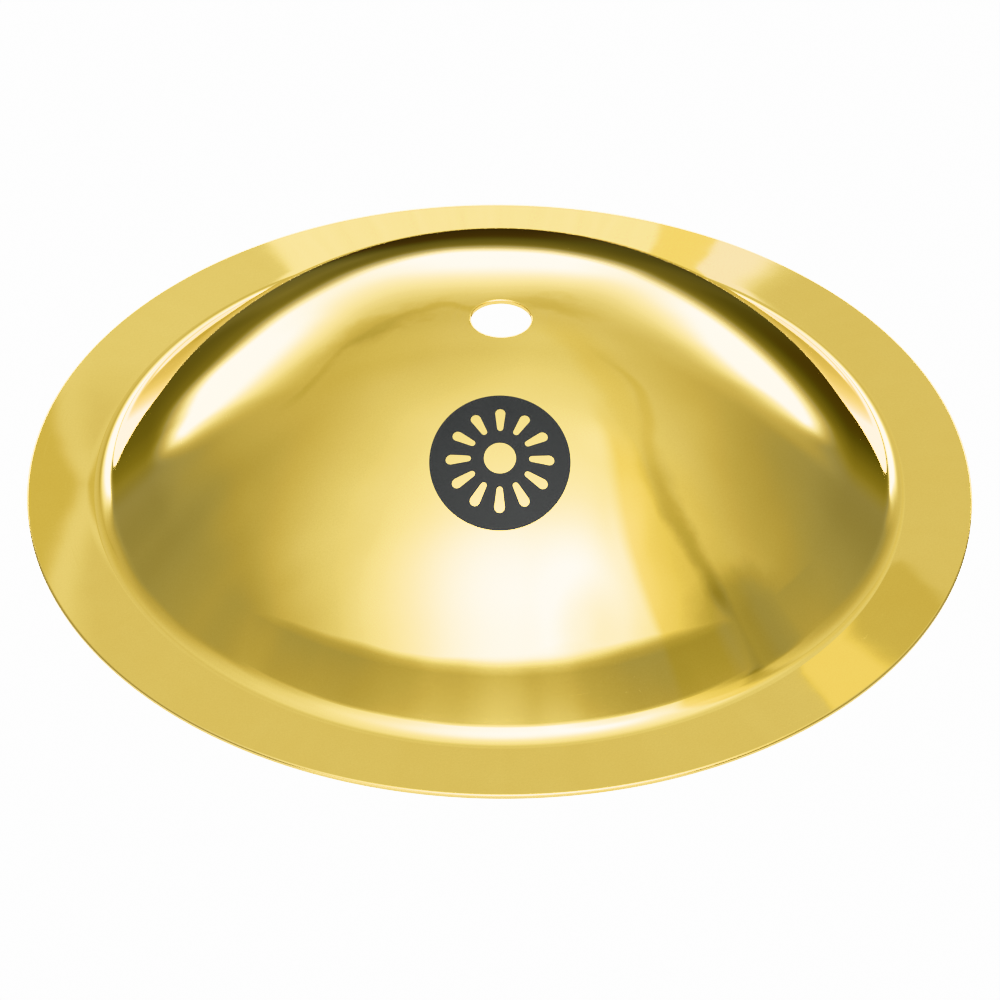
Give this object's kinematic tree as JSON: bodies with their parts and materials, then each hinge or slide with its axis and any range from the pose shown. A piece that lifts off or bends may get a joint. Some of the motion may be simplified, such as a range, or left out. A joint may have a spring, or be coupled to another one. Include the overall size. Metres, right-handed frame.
{
  "type": "bell cymbal",
  "caption": "Small bell cymbal: polished brass disc pressed into a tall round bell with a narrow flat brim, a hole at the crown and a round printed mark.",
  "frame": {"origin": "on the bell's axis, in the plane of the brim's underside, which the cymbal rests on when it lies bell up", "axes": "+Z along the bell's axis, out through the crown; the printed mark faces -Y; +X is to the right as the mark is read"},
  "size_m": [0.2032, 0.2032, 0.0449],
  "materials": {
    "polished_brass": "mirror polished, with faint spinning lines",
    "black_ink": "satin printed ink"
  },
  "bodies": {
    "root": {"bell_shell": "polished_brass", "printed_mark": "black_ink"}
  },
  "joints": []
}
